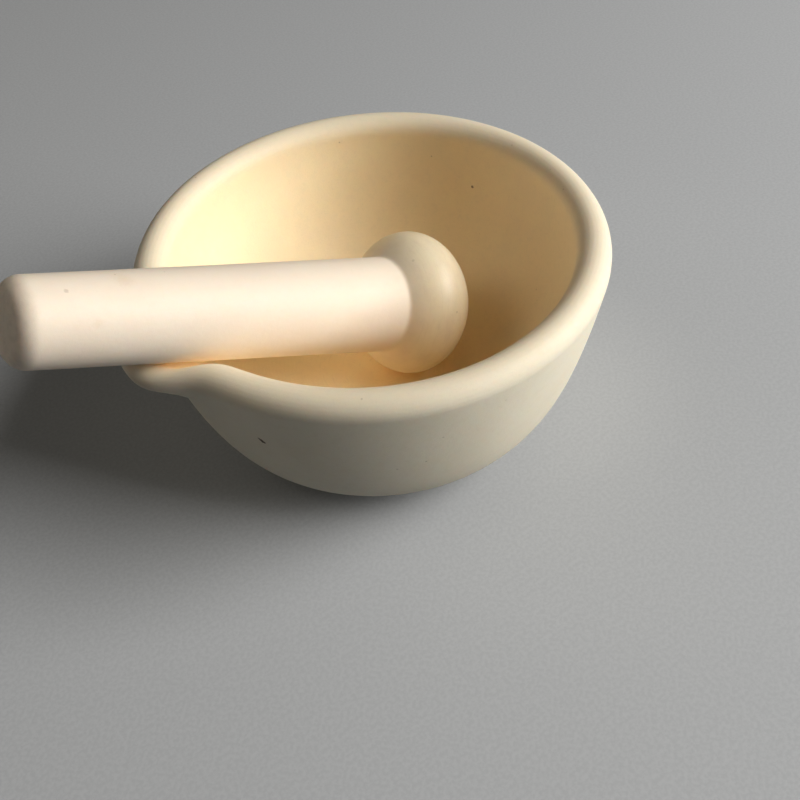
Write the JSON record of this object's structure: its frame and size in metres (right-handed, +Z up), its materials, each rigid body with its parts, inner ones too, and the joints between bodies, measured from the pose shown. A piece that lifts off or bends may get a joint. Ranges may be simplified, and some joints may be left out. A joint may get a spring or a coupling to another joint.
{
  "type": "mortar and pestle",
  "caption": "Laboratory mortar with a pulled pouring spout and a loose pestle resting in it, both unglazed ivory ceramic.",
  "frame": {"origin": "centre of the mortar's flat foot, on the bowl's axis", "axes": "+Z up along the bowl's axis, -X from the axis out through the spout, along which the pestle leans"},
  "size_m": [0.1261, 0.1, 0.0717],
  "materials": {
    "mortar_ceramic": "unglazed matte ivory, smooth sintered alumina",
    "pestle_ceramic": "unglazed matte warm white, grinding head slightly polished"
  },
  "bodies": {
    "mortar": {"mortar": "mortar_ceramic"},
    "pestle": {"pestle": "pestle_ceramic"}
  },
  "joints": [
    {"name": "pestle_lift", "type": "slide", "parent": "mortar", "child": "pestle", "axis": [0, 0, 1], "range_m": [0, 0.06]}
  ]
}
